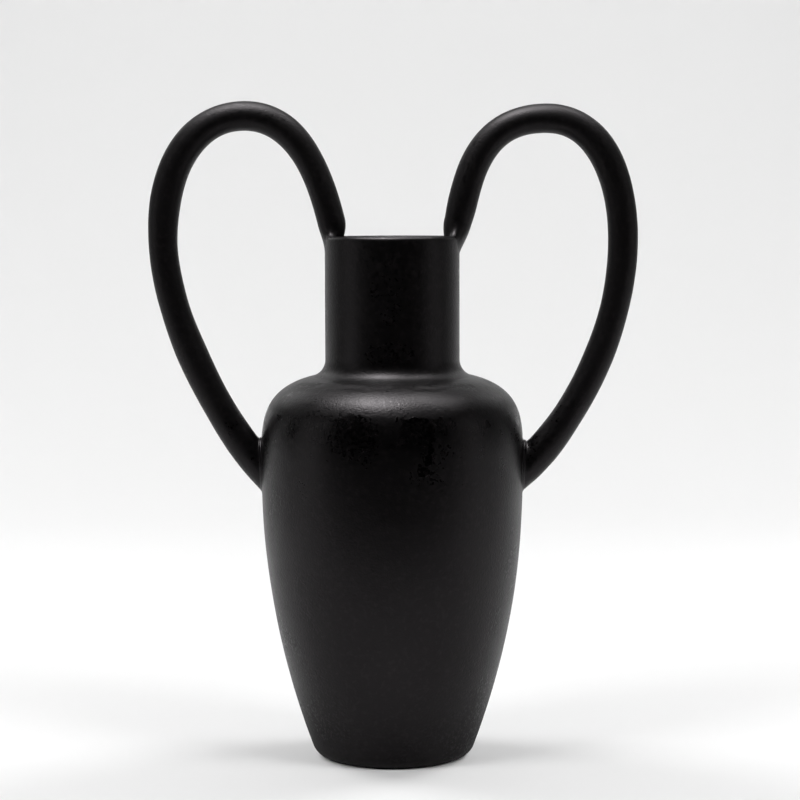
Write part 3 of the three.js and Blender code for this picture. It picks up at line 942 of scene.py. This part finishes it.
# %% Saddles
LIP_FLAT = WALL / 2 - LIP_ROUNDING
LIP_QUARTER = LIP_ROUNDING * math.pi / 2
SADDLE_FLARE = 4.5
SADDLE_DROP_OUT = 7.6
SADDLE_DROP_IN = 13.0
SADDLE_OUT = LIP_FLAT + LIP_QUARTER + SADDLE_DROP_OUT
SADDLE_IN = LIP_FLAT + LIP_QUARTER + SADDLE_DROP_IN
ARMS_IN = (0.4, 0.3)
JUST_BEFORE = 0.98


def lip_point(side, turn, slide):
    """A point on the lip: turn goes round the neck, slide from the rim's middle out and down."""
    way, run = math.copysign(1.0, slide), abs(slide)
    bend = min(max((run - LIP_FLAT) / LIP_ROUNDING, 0.0), math.pi / 2)
    drop = max(run - LIP_FLAT - LIP_QUARTER, 0.0)
    radius = NECK_MIDDLE + way * (min(run, LIP_FLAT) + LIP_ROUNDING * math.sin(bend))
    height = RIM - LIP_ROUNDING + LIP_ROUNDING * math.cos(bend) - drop
    return np.array([side * radius * math.cos(turn), radius * math.sin(turn), height])


def saddle_curve(handle, theta):
    """One curve from the rod's foot to the lip, in the direction theta round the rod."""
    side, across, sideways = handle["side"], math.cos(theta), math.sin(theta)
    angle, radius = math.radians(handle["foot_angle"]), handle["radii"][0] - handle["foot_pinch"]
    foot = np.array([side * (NECK_MIDDLE + handle["foot_shift"]), 0.0, RIM + SADDLE_HEIGHT])
    down = -np.array([side * math.cos(angle), 0.0, math.sin(angle)])
    level = np.array([side * math.sin(angle), 0.0, -math.cos(angle)])
    top = foot + radius * (across * level + sideways * np.array([0.0, 1.0, 0.0]))
    turn = (radius + SADDLE_FLARE) / NECK_MIDDLE * sideways
    slide = across * (SADDLE_OUT if across > 0 else SADDLE_IN)
    end = lip_point(side, turn, slide)
    arrive = unit(end - lip_point(side, JUST_BEFORE * turn, JUST_BEFORE * slide))
    arms = np.array(handle["arms_out"])
    arms += max(-across, 0.0) * (ARMS_IN - arms)
    leave, land = arms * np.linalg.norm(end - top)
    return bezier(top, top + leave * down, end - land * arrive, end, JOIN_STEPS)[0]


def make_saddle(name, handle):
    """The skin of curves, closed by a smaller copy of its last ring inside the rim."""
    rings = list(np.stack([saddle_curve(handle, theta) for theta in JOIN_ANGLES], 1))
    heart = np.array([handle["side"] * NECK_MIDDLE, 0.0, RIM - SADDLE_OUT / 2])
    rings.append((rings[-1] + heart) / 2)
    dress(skin(f"{name}_saddle", rings, False), f"{name}_upper_join", "black_glaze", glaze)


for name, handle in HANDLES.items():
    make_saddle(name, handle)

# %% [markdown]
# ## Collars on the belly
# At its lower end the rod meets the wall at a slant, and a thin coil of clay is smoothed round the
# corner. Again one curve for each direction: it leaves the rod a little above the corner and lands
# on the wall a little beyond it, with a soft bead in its middle. The corner differs from side to
# side, so it is found by halving. Below the rod the collar thins out.

# %% Collars
COLLAR_ON_ROD = 4.0
COLLAR_ON_WALL = 3.6
COLLAR_STEPS = 24
COLLAR_SEARCH = 45.0
COLLAR_HALVINGS = 40
CORNER_PULL = 0.7
BEAD_RISE = 0.75
BEAD_WIDTH = 0.13
CHIN_THIN = 0.55
HEART_DEPTH = 1.2
ROD_WIDTH = 16.0


def rod_skin(handle):
    """A function that gives points on the rod's skin, and the length that it covers."""
    line, radii, run = handle_path(handle)
    along = np.gradient(line, run, axis=0)

    def on_rod(distance, theta):
        middle = np.array([np.interp(distance, run, line[:, k]) for k in (0, 1)])
        way = unit(np.array([np.interp(distance, run, along[:, k]) for k in (0, 1)]))
        radius = np.interp(distance, run, radii)
        flat = middle + radius * math.cos(theta) * np.array([way[1], -way[0]])
        return np.array([handle["side"] * flat[0], radius * math.sin(theta), flat[1]])

    return on_rod, run[-1]


def off_wall(point):
    return math.hypot(point[0], point[1]) - radius_at(outer_wall, point[2])


def onto_wall(point):
    scale = radius_at(outer_wall, point[2]) / math.hypot(point[0], point[1])
    return point * np.array([scale, scale, 1.0])


def corner_distance(on_rod, length, theta):
    """How far along the rod its skin runs into the wall."""
    low, high = length - COLLAR_SEARCH, length
    for _ in range(COLLAR_HALVINGS):
        middle = (low + high) / 2
        low, high = (middle, high) if off_wall(on_rod(middle, theta)) > 0 else (low, middle)
    return low


def collar_curve(handle, on_rod, length, theta):
    """One curve from the rod to the wall, and a last point under the corner between them."""
    distance = corner_distance(on_rod, length, theta)
    upper, lower = max(math.cos(theta), 0.0), max(-math.cos(theta), 0.0)
    fill = 1.0 + handle["crotch_fill"] * upper - CHIN_THIN * lower
    corner, opposite = on_rod(distance, theta), on_rod(distance, theta + math.pi)
    outward = unit(onto_wall(corner) * [1.0, 1.0, 0.0])
    across = corner - opposite
    away = unit(across - across.dot(outward) * outward)
    start = on_rod(distance - COLLAR_ON_ROD * fill, theta)
    end = onto_wall(corner + COLLAR_ON_WALL * fill * away)
    arms = start + CORNER_PULL * (corner - start), end + CORNER_PULL * (corner - end)
    points = bezier(start, *arms, end, COLLAR_STEPS)[0]
    share = (np.linspace(0.0, 1.0, COLLAR_STEPS + 1) - 0.5) / BEAD_WIDTH
    rise = BEAD_RISE * (1.0 - lower) * np.exp(-share**2)[:, None]
    points[1:-1] += (rise * unit((start + end) / 2 - corner))[1:-1]
    heart = corner - HEART_DEPTH * (outward + across / ROD_WIDTH)
    return np.concatenate([points, [heart]])


def make_collar(name, handle):
    on_rod, length = rod_skin(handle)
    curves = [collar_curve(handle, on_rod, length, theta) for theta in JOIN_ANGLES]
    rings = list(np.stack(curves, 1))
    dress(skin(f"{name}_collar", rings, True), f"{name}_lower_join", "black_glaze", glaze)


for name, handle in HANDLES.items():
    make_collar(name, handle)

# %% [markdown]
# ## Floor and backdrop
# The vase stands on a plain pale sweep: a floor that bends up into a backdrop a good way behind. It
# is stage, so it does not belong to the object. The paper shows only on its front: from behind or
# below we look through it, so the back and the foot of the vase can be seen as well.

# %% Stage
PAPER_PALE = (0.86, 0.86, 0.86, 1.0)
PAPER_ROUGHNESS = 0.9
PAPER_SHINE = 0.1
SWEEP_FRONT = -400.0
SWEEP_BEND = 900.0
SWEEP_RADIUS = 600.0
SWEEP_TOP = 3000.0
SWEEP_HALF = 1500.0
SWEEP_STEPS = 32


def paper_material():
    material, tree = new_material("paper")
    shader = tree.group.nodes["Principled BSDF"]
    shader.inputs["Base Color"].default_value = PAPER_PALE
    shader.inputs["Roughness"].default_value = PAPER_ROUGHNESS
    shader.inputs["Specular IOR Level"].default_value = PAPER_SHINE
    clear = tree.add("ShaderNodeBsdfTransparent").outputs[0]
    behind = tree.add("ShaderNodeNewGeometry").outputs["Backfacing"]
    shown = tree.add("ShaderNodeMixShader", {0: behind, 1: shader.outputs[0], 2: clear})
    tree.group.links.new(shown.outputs[0], tree.group.nodes["Material Output"].inputs["Surface"])
    return material


def make_sweep():
    bend = arc((SWEEP_BEND, SWEEP_RADIUS), SWEEP_RADIUS, -math.pi / 2, 0.0, SWEEP_STEPS)
    top = (SWEEP_BEND + SWEEP_RADIUS, SWEEP_TOP)
    outline = np.concatenate([[(SWEEP_FRONT, 0.0)], bend, [top]])
    points = [(x * MM, y * MM, z * MM) for y, z in outline for x in (-SWEEP_HALF, SWEEP_HALF)]
    faces = [(2 * i, 2 * i + 1, 2 * i + 3, 2 * i + 2) for i in range(len(outline) - 1)]
    sweep = mesh_object("sweep", points, faces)
    sweep.data.shade_smooth()
    sweep.data.materials.append(paper_material())
    return sweep


sweep = make_sweep()
print("sweep", [round(v, 2) for v in sweep.dimensions])

# %% [markdown]
# ## Light
# A black glaze shows what it mirrors more than its own colour, while the pale floor shows how much
# light falls on it. One set of lamps can't serve both, so we split the work. Two panels overhead
# are mirrored by the glaze alone and draw the crescent on the shoulder and the light along the
# handles. A tall panel on each side serves both and draws the paler flanks, and two smaller ones
# beside it are mirrored alone: one for the flank, one for the edge of the shoulder. Four fills are
# felt by the floor alone and keep it even, and one more panel lights the backdrop. The side towards
# the camera stays dark, and that keeps the middle black.

# %% Lights
MIDDLE = (0.0, 0.0, 180.0)
TOP_PANELS = (
    ("top_panel", (0.0, 150.0, 1500.0), (0.0, 0.0, 100.0), (1700.0, 700.0), 26.0),
    ("key_panel", (-180.0, -190.0, 1300.0), MIDDLE, (480.0, 400.0), 15.5),
)
SIDE_SHARES = ((-1, 1.35), (1, 1.0))
SIDE_PANELS = (
    ("side", (1300.0, 800.0, 650.0), (900.0, 1400.0), 1.26, True),
    ("flank", (1300.0, -350.0, 420.0), (600.0, 1000.0), 1.1, False),
    ("shoulder", (800.0, 1050.0, 950.0), (500.0, 500.0), 0.9, False),
)
FILL_ASIDE = 900.0
FILL_PLACES = ((-700.0, 900.0), (600.0, 1100.0))
FILL_SIZE = (600.0, 600.0)
FILL_POWER = 9.3
BACK_PANEL = ("back_panel", (0.0, 300.0, 1900.0), (0.0, 1500.0, 300.0), (2600.0, 700.0), 4.0)


def soft_panel(name, place, aim, size, power, mirrored=True, felt=True):
    """A rectangular light, sizes in mm, that the glaze may mirror and that the floor may feel."""
    data = bpy.data.lights.new(name, "AREA")
    data.shape = "RECTANGLE"
    data.size, data.size_y = size[0] * MM, size[1] * MM
    data.energy = power
    panel = bpy.data.objects.new(name, data)
    panel.location = Vector(place) * MM
    panel.rotation_euler = (Vector(aim) - Vector(place)).to_track_quat("-Z", "Y").to_euler()
    panel.visible_glossy, panel.visible_diffuse = mirrored, felt
    bpy.context.scene.collection.objects.link(panel)


for panel in TOP_PANELS:
    soft_panel(*panel, felt=False)
for side, share in SIDE_SHARES:
    for label, (across, depth, height), size, power, felt in SIDE_PANELS:
        name, place = f"{label}_panel_{side}", (side * across, depth, height)
        soft_panel(name, place, MIDDLE, size, power * share, felt=felt)
    for depth, height in FILL_PLACES:
        name, place = f"fill_{side}_{depth:.0f}", (side * FILL_ASIDE, depth, height)
        aim = (0.0, max(depth, 0.0) / 3, 0.0)
        soft_panel(name, place, aim, FILL_SIZE, FILL_POWER, mirrored=False)
soft_panel(*BACK_PANEL)

# %% [markdown]
# ## The room
# The room is pale to look at, but the glaze mirrors a dim one. A bright room would lay a grey veil
# over the black. The Standard view keeps the pale floor as pale as it is.

# %% Room
ROOM_SEEN = 0.83
ROOM_DIM = 0.004


def dim_room():
    world = bpy.data.worlds.new("dim_room")
    world.use_nodes = True
    tree = Nodes(world.node_tree)
    seen = tree.add("ShaderNodeLightPath").outputs["Is Camera Ray"]
    level = tree.blend(seen, ROOM_DIM, ROOM_SEEN)
    tree.group.links.new(level, tree.group.nodes["Background"].inputs["Color"])
    return world


bpy.context.scene.world = dim_room()
bpy.context.scene.view_settings.view_transform = "Standard"
print("the camera sees", ROOM_SEEN, "and the glaze mirrors", ROOM_DIM)
